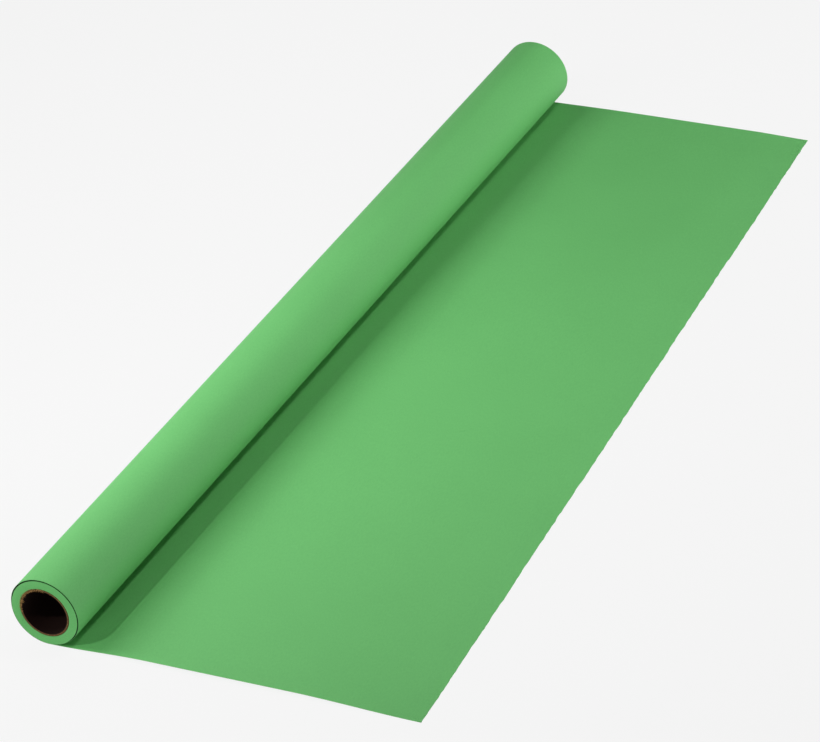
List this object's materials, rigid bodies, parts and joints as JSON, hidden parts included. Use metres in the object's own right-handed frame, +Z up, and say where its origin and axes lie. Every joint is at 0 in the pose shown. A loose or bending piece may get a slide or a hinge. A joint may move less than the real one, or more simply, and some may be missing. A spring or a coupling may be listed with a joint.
{
  "type": "backdrop paper roll",
  "caption": "Roll of plain green studio backdrop paper on a spiral-wound cardboard core, lying down with a short length of the web pulled out flat from under it",
  "frame": {"origin": "the middle of the core's bore, on the roll's axis", "axes": "+Y along the roll, +X the way the web is pulled out, +Z up; the roll lies on its web below"},
  "size_m": [0.5331, 1.35, 0.091],
  "materials": {
    "core_board": "matte",
    "tape": "matte",
    "backdrop_paper": "matte"
  },
  "bodies": {
    "sheet": {"loose_sheet": "backdrop_paper"},
    "wrap": {"outer_wrap": "backdrop_paper"},
    "roll": {"core_inner_liner": "core_board", "core_ply_2": "core_board", "core_ply_3": "core_board", "core_ply_4": "core_board", "core_ply_5": "core_board", "core_outer_ply": "core_board", "starting_tape": "tape", "wound_paper": "backdrop_paper"}
  },
  "joints": [
    {"name": "roll_travel", "type": "slide", "parent": "sheet", "child": "wrap", "axis": [1, 0, 0], "range_m": [-0.56, 0.22], "deforming": ["loose_sheet"]},
    {"name": "roll_spin", "type": "hinge", "parent": "wrap", "child": "roll", "pos_m": [0, 0, 0], "axis": [0, 1, 0], "range_deg": [-720, 360]}
  ],
  "couplings": [
    {"joint": "roll_spin", "follows": "roll_travel", "rad_per_m": 22.361}
  ]
}
